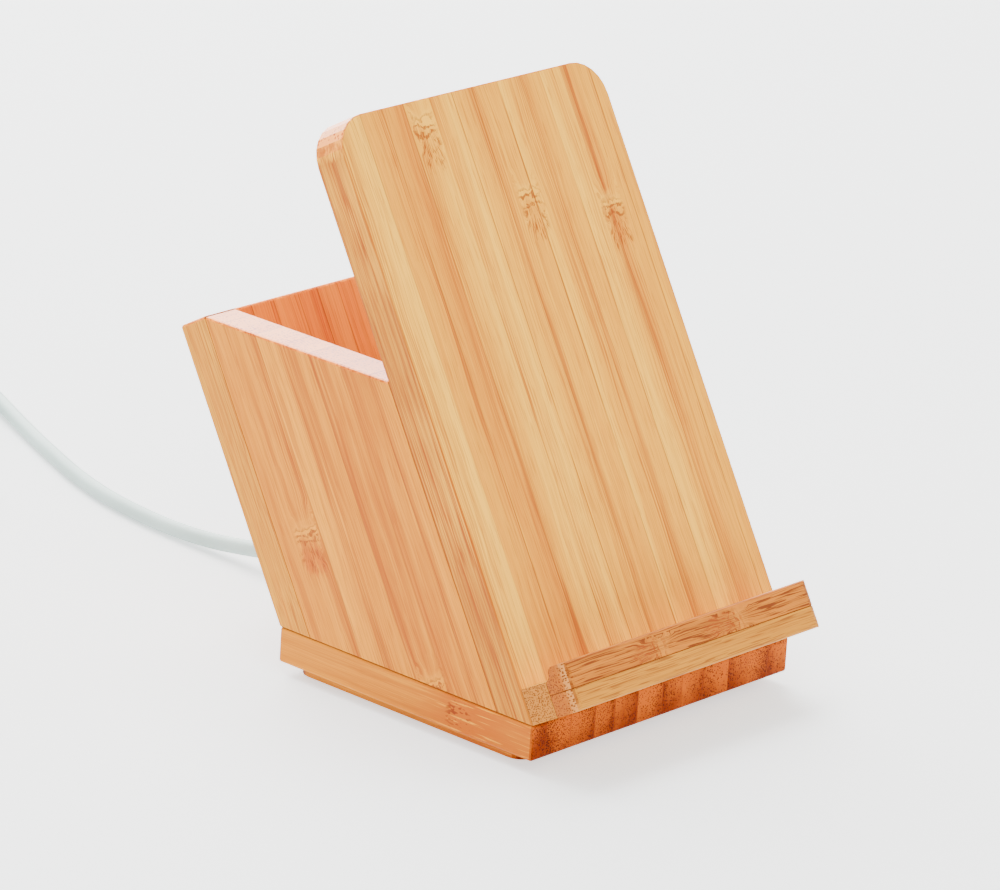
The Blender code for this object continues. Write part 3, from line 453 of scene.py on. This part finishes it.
    def mark_edges(self, colour, rubbed):
        """Frayed ends of the fibres, the line along a sanded edge, and the seams between the strips."""
        line = self.looks["line"]
        frayed = self.times(self.fade(self.turn, "fray_start"), self.fade(self.turn, "fray_end"),
                            self.fade(self.blots, "fray_spell"))
        colour = self.mix(self.times(frayed, shares["fray"]), colour, line)
        if rubbed:
            arris = self.times(self.fade(self.absolute(self.facing_across), "arris"),
                               self.fade(self.absolute(self.facing_through), "arris"))
            uneven = self.fade(self.blots, "arris_spell", 0.5 * rubbed, rubbed)
            colour = self.mix(self.times(arris, uneven), colour, line)
        return self.mix(self.times(self.seam, shares["seam"]), colour, self.looks["seam"])

    def finish(self, colour, sealed):
        """Satin faces, duller end grain under its lacquer, and a fine relief."""
        self.set(Base_Color=colour, Roughness=self.plus(0.38, self.times(self.fine, 0.22)),
                 Specular_IOR_Level=self.minus(0.22, self.times(self.sawn, 0.18)),
                 Specular_Tint=wood_sheen_tint)
        if sealed:
            lacquer = self.times(self.fade(self.turn, "lacquer"), sealed)
            self.set(Coat_Weight=lacquer, Coat_Roughness=lacquer_roughness)
        hollows = self.plus(self.times(self.pore, self.sawn, 0.7), self.times(self.seam, 0.8))
        relief = self.minus(self.times(self.fine, 0.5), hollows)
        self.bump(self.minus(relief, self.times(self.mark, 0.4)), relief_depth, 0.6)


def dress(node, material):
    """Give a CAD node its material."""
    mesh = nodes[node].data
    mesh.materials.clear()
    mesh.materials.append(material)


honey = {
    "pale": (0.90, 0.46, 0.032), "mid": (0.76, 0.325, 0.014), "warm": (0.63, 0.215, 0.008),
    "line": (0.35, 0.060, 0.004), "knot": (0.60, 0.16, 0.006), "seam": (0.26, 0.042, 0.004),
    "cut_pale": (0.86, 0.25, 0.022), "cut_dark": (0.72, 0.17, 0.012), "pore": (0.42, 0.07, 0.006),
}
# The front board's colours also hold a painted highlight for the end grain on its rounded corner
tall_looks = {
    **honey, "cut_pale": (0.84, 0.235, 0.019), "cut_dark": (0.68, 0.15, 0.010), "painted_highlight": (0.93, 0.45, 0.14),
}
orange = {
    **honey, "pale": (0.82, 0.335, 0.015), "mid": (0.65, 0.222, 0.007), "warm": (0.52, 0.143, 0.005),
    "line": (0.33, 0.048, 0.003), "knot": (0.50, 0.090, 0.004),
}
# The back board's colours are a richer orange, painted bounce light from the pot's walls; its outer faces get
# a tint that takes it back off
painted_bounce_looks = {
    **honey, "pale": (0.86, 0.29, 0.012), "mid": (0.78, 0.205, 0.006), "warm": (0.66, 0.14, 0.005),
    "line": (0.42, 0.06, 0.003), "painted_bounce_removal_tint": (0.80, 1.05, 1.4),
}
slab_looks = {
    **orange, "pale": (0.84, 0.37, 0.012), "mid": (0.64, 0.218, 0.006), "warm": (0.47, 0.125, 0.003),
    "line": (0.28, 0.042, 0.004), "stain": (0.43, 0.086, 0.001),
    "cut_pale": (0.56, 0.112, 0.003), "cut_dark": (0.19, 0.022, 0.002), "pore": (0.050, 0.006, 0.002),
}
# The lips' colours also hold a painted highlight for the end grain on their rounded ends
upper_looks = {
    **orange, "pale": (0.59, 0.215, 0.017), "mid": (0.50, 0.155, 0.011), "warm": (0.39, 0.095, 0.007),
    "line": (0.15, 0.026, 0.004), "knot": (0.30, 0.06, 0.006), "painted_highlight": (0.80, 0.42, 0.13),
    "cut_pale": (0.46, 0.13, 0.011), "cut_dark": (0.26, 0.05, 0.005), "pore": (0.12, 0.022, 0.004),
}
lower_looks = {
    **honey, "pale": (0.61, 0.265, 0.021), "mid": (0.525, 0.21, 0.014), "warm": (0.43, 0.15, 0.010),
    "line": (0.20, 0.045, 0.006), "painted_highlight": (0.80, 0.42, 0.13),
    "cut_pale": (0.46, 0.13, 0.012), "cut_dark": (0.27, 0.055, 0.006), "pore": (0.12, 0.022, 0.004),
}
seat_looks = {
    **honey, "cut_pale": (0.48, 0.18, 0.026), "cut_dark": (0.32, 0.10, 0.013), "pore": (0.12, 0.024, 0.005),
}

# One row for each board: its name, grain, colours, strips, seed and marks
pot = {"sealed": 0.8}
slab = {
    "tilted": False, "dashes": 0.3, "stain_and_painted_shade": 0.45, "blotchy": 0.6, "pore_density": 2.4, "pore_size": 0.31,
}
lip = {"sealed": 0.1, "pore_density": 2.2, "pore_size": 0.26}
dowel = {"streaky": 0.5, "pores": 0.4}
one_strip = (60.0, -30.0)
boards = (
    ("front_board", "XYZ", tall_looks, (6.4, -17.6), 1.0,
     {"sealed": 0.6, "rubbed": 0.8,
      "knots": ((-14.4, 114.4, 6.0, 0.15), (6.9, 96.3, 6.0, 0.1), (28.2, 90.3, 6.0, 0.3))}),
    ("back_board", "XYZ", painted_bounce_looks, (6.0, 0.0), 2.0,
     {**pot, "knots": ((-20.0, 30.0, 6.0, 0.3), (9.0, 52.0, 6.0, 0.3))}),
    ("left_side_board", "YXZ", orange, (6.6, 39.0), 3.0,
     {**pot, "blotchy": 1.0, "knots": ((42.4, 47.9, 6.6, 0.65), (22.0, 12.0, 6.6, 0.3))}),
    ("right_side_board", "YXZ", orange, (6.6, 1.0), 4.0,
     {**pot, "blotchy": 1.0, "knots": ((24.0, 40.0, 6.6, 0.5),)}),
    ("base_slab", "XZY", slab_looks, (6.45, -32.8), 5.0, {**slab, "knots": ((3.0, 58.0, 6.4, 0.3),)}),
    ("bottom_plate", "XZY", slab_looks, (6.2, 0.0), 6.0, {**slab, "knots": ((10.0, 20.0, 6.2, 0.3),)}),
    ("coil_cover", "XYZ", honey, (12.0, 0.0), 7.0, {"knots": ((5.0, 50.0, 10.0, 0.3),)}),
    ("ledge_seat", "ZYX", seat_looks, one_strip, 8.4, {"pore_density": 2.4, "pore_size": 0.32}),
    ("ledge_lip_lower", "ZYX", lower_looks, one_strip, 9.0, {**lip, "dashes": 1.9}),
    ("ledge_lip_upper", "ZYX", upper_looks, one_strip, 10.0,
     {**lip, "dashes": 2.5, "knots": ((6.5, -10.8, 4.4, 0.3), (6.8, 11.2, 4.4, 0.3))}),
    ("ledge_dowel_left", "XZY", honey, one_strip, 11.0, dowel),
    ("ledge_dowel_right", "XZY", honey, one_strip, 11.0, dowel),
)
for board, grain, looks, strip, seed, marks in boards:
    dress(board, Bamboo(f"bamboo_{board}", grain, looks, strip, seed, **marks).material)


# Glue, which fills the joints between the boards just under their faces. Sizes in millimetres.

glue_line, film_thickness = 0.2, 0.16
under_face, film_gap, side_film_end = 0.06, 0.05, 0.3
wire_passage = 10.0
front_thickness, back_thickness, side_thickness = 7.8, 7.0, 8.4
pot_depth, pot_height = 57.705, 57.0
ledge_length, seat_depth, seat_height = 72.0, 6.8, 7.3
seat_film_height, seat_film_end = 0.7, 2.0
lip_front, lip_split, lip_end_radius = -12.1, 4.7, 2.2
amber, dark_amber = (0.24, 0.060, 0.007), (0.17, 0.038, 0.005)


def upright_point(x, y, z):
    """World place, in metres, of a point in millimetres from the slab's top front edge."""
    return Vector((x / millimetres, slab_front + y / millimetres, slab_top + z / millimetres))


def leaning_point(x, through, along):
    """World place, in metres, of a point in the leaning boards' millimetres."""
    y = through * math.cos(lean) + along * math.sin(lean)
    z = along * math.cos(lean) - through * math.sin(lean)
    return upright_point(x, y, z)


def rise(through, height):
    """Millimetres along the lean of a point at a height above the slab."""
    return (height + through * math.sin(lean)) / math.cos(lean)


def rectangle(left, right, low, high):
    return [(left, low), (right, low), (right, high), (left, high)]


def quarter(x, y, radius, start):
    """Quarter circle round a point, from a start in degrees."""
    angles = [math.radians(start + turned) for turned in (0, 30, 60, 90)]
    return [(x + radius * math.cos(angle), y + radius * math.sin(angle)) for angle in angles]


def film(bm, corners, axis, at, to_world):
    """One thin sheet: an outline of two coordinates, given its thickness along the third."""
    rings = []
    for level in (at - film_thickness / 2, at + film_thickness / 2):
        ring = []
        for first, second in corners:
            values = [first, second]
            values.insert(axis, level)
            ring.append(bm.verts.new(to_world(*values)))
        rings.append(ring)
    bm.faces.new(rings[0])
    bm.faces.new(list(reversed(rings[1])))
    for number in range(len(corners)):
        after = (number + 1) % len(corners)
        bm.faces.new((rings[0][number], rings[1][number], rings[1][after], rings[0][after]))


def pot_films(bm, half_width):
    """Between the pot's walls, and between each wall and the slab."""
    edge = half_width - under_face
    inner = half_width - side_thickness + under_face
    back = pot_depth - back_thickness
    for side in (-1, 1):
        left, right = sorted((side * edge, side * inner))
        for through in (front_thickness + glue_line / 2, back - glue_line / 2):
            low, high = rise(through, glue_line), rise(through, pot_height) - under_face
            film(bm, rectangle(left, right, low, high), 1, through, leaning_point)
        shape = rectangle(left, right, side_film_end, pot_depth / math.cos(lean) - side_film_end)
        film(bm, shape, 2, glue_line / 2, upright_point)
    front_end = front_thickness / math.cos(lean) - under_face
    back_start, back_end = back / math.cos(lean) + under_face, pot_depth / math.cos(lean) - under_face
    outer, passage = inner - film_gap, wire_passage / 2 + film_gap
    for shape in (rectangle(-outer, -passage, under_face, front_end),
                  rectangle(passage, outer, under_face, front_end),
                  rectangle(-outer, outer, back_start, back_end)):
        film(bm, shape, 2, glue_line / 2, upright_point)


def ledge_films(bm, half_width):
    """Behind and before the ledge's seat, and between the lip's two layers."""
    left, right = under_face - half_width, ledge_length - half_width - under_face
    low, high = glue_line + under_face, seat_height - under_face
    strip_low = seat_height - seat_film_height
    end_high = strip_low - film_gap
    for shape in (rectangle(left, right, strip_low, high),
                  rectangle(left, left + seat_film_end, low, end_high),
                  rectangle(right - seat_film_end, right, low, end_high)):
        film(bm, shape, 1, -glue_line / 2, leaning_point)
    film(bm, rectangle(left, right, low, high), 1, -seat_depth - glue_line / 2, leaning_point)
    front, back = lip_front + under_face, -seat_depth - glue_line - under_face
    round_front = front + lip_end_radius
    corners = [(right, back), (left, back),
               *quarter(left + lip_end_radius, round_front, lip_end_radius, 180),
               *quarter(right - lip_end_radius, round_front, lip_end_radius, 270)]
    film(bm, corners, 2, lip_split - glue_line / 2, leaning_point)


def mesh_object(name, bm):
    """A new object in the scene that takes over the faces."""
    mesh = bpy.data.meshes.new(name)
    bm.to_mesh(mesh)
    bm.free()
    made = bpy.data.objects.new(name, mesh)
    bpy.context.scene.collection.objects.link(made)
    return made


def amber_glue(name):
    """Amber glue with small beads."""
    t = Tree(name)
    beads = t.noise(t.here(), 1.4, 2.0)
    t.set(Base_Color=t.mix(t.span(beads, 0.35, 0.7), amber, dark_amber))
    t.set(Roughness=t.plus(0.7, t.times(beads, 0.2)), Specular_IOR_Level=0.1)
    t.bump(beads, 0.00004, 0.5)
    return t.material


def glue_films():
    """Every glued joint of the pot and of the ledge, as one piece."""
    bm = bmesh.new()
    half_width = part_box("base_slab")[1].x * millimetres
    pot_films(bm, half_width)
    ledge_films(bm, half_width)
    bmesh.ops.recalc_face_normals(bm, faces=bm.faces)
    made = mesh_object("glue_films", bm)
    made.data.materials.append(amber_glue("amber_glue"))
    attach(made, "stand")


glue_films()


# Metals, rubber and plastics

def metal(name, colour, roughness, scale=1.0):
    """Metal with fine turning marks and a slight stain."""
    t = Tree(name)
    here = t.here(scale)
    stain = t.noise(here, 0.4, 3.0)
    marks = t.noise(t.scaled(here, (1.0, 1.0, 12.0)), 2.0, 2.0)
    dark = tuple(shade * 0.72 for shade in colour)
    t.set(Base_Color=t.mix(t.span(stain, 0.4, 0.75), colour, dark), Metallic=1.0)
    t.set(Roughness=t.plus(roughness, t.times(marks, 0.2)))
    t.bump(marks, 0.00001, 0.3)
    return t.material


def plastic(name, colour, roughness, grain=6.0, depth=0.00001, darkest=0.9):
    """Moulded plastic or rubber with a fine grain."""
    t = Tree(name)
    here = t.here()
    fine, broad = t.noise(here, grain, 2.0), t.noise(here, 0.12, 2.0)
    dark = tuple(shade * darkest for shade in colour)
    t.set(Base_Color=t.mix(t.span(broad, 0.35, 0.7), colour, dark))
    t.set(Roughness=t.plus(roughness, t.times(fine, 0.15)))
    t.bump(fine, depth, 0.4)
    return t.material


def circuit_board(name):
    """Solder mask over a net of tracks, with tinned pads."""
    mask, track, tin = srgb(20, 92, 48), srgb(34, 128, 66), srgb(190, 186, 170)
    t = Tree(name)
    net = t.cells(t.here(), 0.45, feature="F1", distance="MANHATTAN")
    tracks = t.span(t.math("PINGPONG", net, 0.22), 0.09, 0.13)
    pads = t.span(t.cells(t.here(), 0.8), 0.16, 0.12)
    t.set(Base_Color=t.mix(pads, t.mix(tracks, mask, track), tin))
    t.set(Metallic=t.times(pads, 0.9), Roughness=t.plus(0.35, t.times(tracks, 0.15)))
    t.bump(tracks, 0.00003, 0.5)
    return t.material


def four(stem):
    """Names of four pieces of one kind."""
    return [f"{stem}_{number}" for number in range(1, 5)]


zinc = metal("zinc_plated_steel", srgb(196, 196, 200), 0.3)
bright = metal("bright_steel", srgb(214, 215, 218), 0.18)
copper = metal("enamelled_copper", srgb(196, 108, 60), 0.28, 4.0)
rubber = plastic("black_rubber", srgb(32, 32, 34), 0.75, 4.0, 0.00003)
resin = plastic("black_resin", srgb(30, 30, 32), 0.4, 8.0)
ferrite = plastic("dark_ferrite", srgb(54, 54, 58), 0.45, 10.0, 0.00002)
ceramic = plastic("capacitor_ceramic", srgb(150, 112, 84), 0.4, 8.0)
moulding = plastic("white_moulding", srgb(184, 199, 194), 0.36, 9.0, 0.000006, 0.96)
board_green = circuit_board("circuit_board")

for material, names in (
        (zinc, [*four("board_screw"), *four("plate_screw"), *four("frame_screw")]),
        (rubber, [*four("anti_slip_pad"), "cord_tie"]),
        (ceramic, four("resonance_capacitor")),
        (bright, ["usb_socket_shell", "usb_c_plug_shell", "usb_a_plug_shell"]),
        (copper, ["charging_coil", "coil_lead_inner", "coil_lead_outer"]),
        (resin, ["driver_chip", "control_chip", "inductor", "usb_socket_tongue", "usb_a_plug_tongue"]),
        (moulding, ["usb_c_plug_body", "plug_strain_relief", "usb_a_plug_body", "far_strain_relief"]),
        (ferrite, ["ferrite_shield"]),
        (board_green, ["main_board"])):
    for name in names:
        dress(name, material)


# Cord: one unbroken tube along the free stretch, round the coil and on to the far plug. Sizes in metres.

cord_diameter = 0.0033
cord_layer = 0.0038
cord_loops = 7
cord_spacing = 0.0036
coil_middle_radius = 0.0180
coil_rest_height = 0.00275
coil_entry = (0.0313, 0.2262)
entry_angle, exit_angle = math.radians(-23.0), math.pi
loop_steps, curve_steps, tail_steps = 36, 20, 8
cord_route = [
    (0.0000, 0.0944, 0.00598), (0.0000, 0.0985, 0.00600), (0.0001, 0.1050, 0.00520),
    (0.0003, 0.1130, 0.00380), (0.0004, 0.1220, 0.00250), (0.0005, 0.1315, 0.00185),
    (0.0011, 0.1420, 0.00167), (0.0030, 0.1551, 0.00167), (0.0067, 0.1680, 0.00167),
    (0.0114, 0.1800, 0.00167), (0.0167, 0.1925, 0.00170), (0.0217, 0.2040, 0.00195),
    (0.0256, 0.2130, 0.00230),
]


def smooth_curve(points):
    """Close points on a smooth curve through the given ones."""
    vectors = [Vector(point) for point in points]
    padded = [2 * vectors[0] - vectors[1], *vectors, 2 * vectors[-1] - vectors[-2]]
    close = []
    for before, start, end, after in zip(padded, padded[1:], padded[2:], padded[3:]):
        for step in range(curve_steps):
            share = step / curve_steps
            close.append(0.5 * (2 * start + (end - before) * share
                                + (2 * before - 5 * start + 4 * end - after) * share ** 2
                                + (3 * start - before - 3 * end + after) * share ** 3))
    return [*close, vectors[-1]]


def evenly_spaced(points, spacing):
    """Points at an even spacing on the line through the given ones."""
    lengths = [0.0]
    for first, second in zip(points, points[1:]):
        lengths.append(lengths[-1] + (second - first).length)
    count = round(lengths[-1] / spacing)
    even = []
    number = 0
    for step in range(count + 1):
        wanted = lengths[-1] * step / count
        while number < len(lengths) - 2 and lengths[number + 1] < wanted:
            number += 1
        stretch = lengths[number + 1] - lengths[number]
        share = (wanted - lengths[number]) / stretch if stretch else 0.0
        even.append(points[number].lerp(points[number + 1], min(share, 1.0)))
    return even


def coil_points():
    """The coil's centreline: inwards on the lower layer, up, and outwards on the upper one."""
    turned = 2 * math.pi * cord_loops + exit_angle - entry_angle
    outer = coil_middle_radius + cord_layer * turned / (8 * math.pi)
    x = coil_entry[0] - outer * math.cos(entry_angle)
    y = coil_entry[1] - outer * math.sin(entry_angle)
    steps = round(loop_steps * turned / (2 * math.pi))
    loops = []
    for step in range(steps + 1):
        gone = turned * step / steps
        angle = entry_angle + gone
        radius = outer - cord_layer * min(gone, turned - gone) / (2 * math.pi)
        share = min(max((gone - turned / 2) / math.pi + 0.5, 0.0), 1.0)
        height = coil_rest_height + cord_layer * (1 - math.cos(math.pi * share)) / 2
        loops.append(Vector((x + radius * math.cos(angle), y + radius * math.sin(angle), height)))
    return loops


def tail_points(start, far_height):
    """The last stretch, from the coil to a far end at a height."""
    drop = far_height - start.z
    run = 4 * cord_diameter
    tail = []
    for step in range(1, tail_steps + 1):
        share = step / tail_steps
        tail.append(start + Vector((0, -run * share, drop * (1 - math.cos(math.pi * share)) / 2)))
    return [*tail, tail[-1] + Vector((0, -cord_diameter, 0))]


def cord_points(far_height):
    """The whole centreline, in the order that the cord runs."""
    loops = coil_points()
    entering = Vector((-math.sin(entry_angle), math.cos(entry_angle), 0))
    route = [*cord_route, tuple(loops[0] - entering * cord_diameter)]
    free = evenly_spaced(smooth_curve(route), cord_spacing)
    shift = Vector((0, slab_front, 0))
    return [point + shift for point in free + loops + tail_points(loops[-1], far_height)]


def cord_tube(name, points, diameter, sides=20):
    """Round tube with texture coordinates along it, in millimetres, and round it."""
    bm = bmesh.new()
    laid = bm.loops.layers.uv.new("along_and_round")
    up = Vector((0, 0, 1))
    rings, gone = [], [0.0]
    for number, point in enumerate(points):
        before, after = points[max(number - 1, 0)], points[min(number + 1, len(points) - 1)]
        run = (after - before).normalized()
        side = run.cross(up).normalized()
        up = side.cross(run).normalized()
        ring = []
        for step in range(sides):
            angle = 2 * math.pi * step / sides
            ring.append(bm.verts.new(point + diameter / 2 * (side * math.cos(angle) + up * math.sin(angle))))
        rings.append(ring)
        if number:
            gone.append(gone[-1] + (point - points[number - 1]).length)
    for number, (first, second) in enumerate(zip(rings, rings[1:])):
        for step in range(sides):
            after = (step + 1) % sides
            face = bm.faces.new((first[step], first[after], second[after], second[step]))
            face.smooth = True
            for loop, (u, v) in zip(face.loops, ((0, 0), (0, 1), (1, 1), (1, 0))):
                loop[laid].uv = (gone[number + u] * millimetres, (step + v) / sides)
    bm.faces.new(list(reversed(rings[0])))
    bm.faces.new(rings[-1])
    bmesh.ops.recalc_face_normals(bm, faces=bm.faces)
    return mesh_object(name, bm)


def cord_jacket(name):
    """Pale grey-green jacket with a faint lengthwise line on each side."""
    t = Tree(name)
    around = t.split(t.add("TexCoord").outputs["UV"])[1]
    groove = t.span(t.absolute(t.minus(t.math("FRACT", t.times(around, 2.0)), 0.36)), 0.05, 0.0)
    here = t.here()
    fine, broad = t.noise(here, 5.0, 2.0), t.noise(here, 0.06, 2.0)
    colour = t.mix(t.span(broad, 0.35, 0.7), srgb(172, 190, 184), srgb(163, 181, 175))
    t.set(Base_Color=t.mix(t.times(groove, 0.5), colour, srgb(112, 130, 126)))
    t.set(Roughness=t.plus(0.38, t.times(fine, 0.2)))
    t.bump(t.minus(t.times(fine, 0.2), groove), 0.00008, 0.5)
    return t.material


low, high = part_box("far_strain_relief")
line = cord_points((low.z + high.z) / 2)
cord = cord_tube("usb_lead_cord", line, cord_diameter)
cord.data.materials.append(cord_jacket("cord_jacket"))
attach(cord, "usb_lead")
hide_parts("usb_cord", "cord_coil")


# Floor, world and lights. Places and sizes in metres, powers in watts.

floor_reach, floor_height = 6.0, -0.0002
world_strength = 0.9
aim = Vector((0.0, 0.0, 0.05))
lamps = (
    ("key", (-0.55, -1.0, 1.15), 0.9, 17),
    ("camera_side", (-0.95, -0.80, 0.62), 0.35, 4),
    ("left_top", (-0.70, 0.30, 1.30), 0.7, 9),
    ("fill", (0.9, -0.9, 0.7), 1.2, 5),
    ("top", (0.1, 0.2, 1.5), 1.2, 10),
    ("back_top", (0.15, 0.75, 1.35), 1.4, 78),
    ("back_card", (0.62, 1.10, 0.50), 1.3, 40),
)


def floor():
    """A plain pale sheet just under the stand."""
    bm = bmesh.new()
    bmesh.ops.create_grid(bm, x_segments=1, y_segments=1, size=floor_reach)
    made = mesh_object("floor", bm)
    made.location.z = floor_height
    t = Tree("floor_paper")
    mottle = t.noise(t.add("TexCoord").outputs["Object"], 3.0, 2.0)
    t.set(Base_Color=t.mix(mottle, srgb(198, 198, 198), srgb(195, 195, 195)), Roughness=0.9,
          Specular_IOR_Level=0.2, Emission_Color=(0.95, 1.0, 1.0), Emission_Strength=1.2)
    made.data.materials.append(t.material)


def lamp(name, place, size, power):
    """A soft square light that looks at the stand."""
    data = bpy.data.lights.new(name, "AREA")
    data.size, data.energy = size, power
    made = bpy.data.objects.new(name, data)
    made.location = place
    made.rotation_euler = (aim - Vector(place)).to_track_quat("-Z", "Y").to_euler()
    bpy.context.scene.collection.objects.link(made)


def light_world(name):
    """An even white sky."""
    world = bpy.data.worlds.new(name)
    world.use_nodes = True
    sky = world.node_tree.nodes["Background"].inputs
    sky["Color"].default_value = (1, 1, 1, 1)
    sky["Strength"].default_value = world_strength
    bpy.context.scene.world = world


floor()
for row in lamps:
    lamp(*row)
light_world("studio")
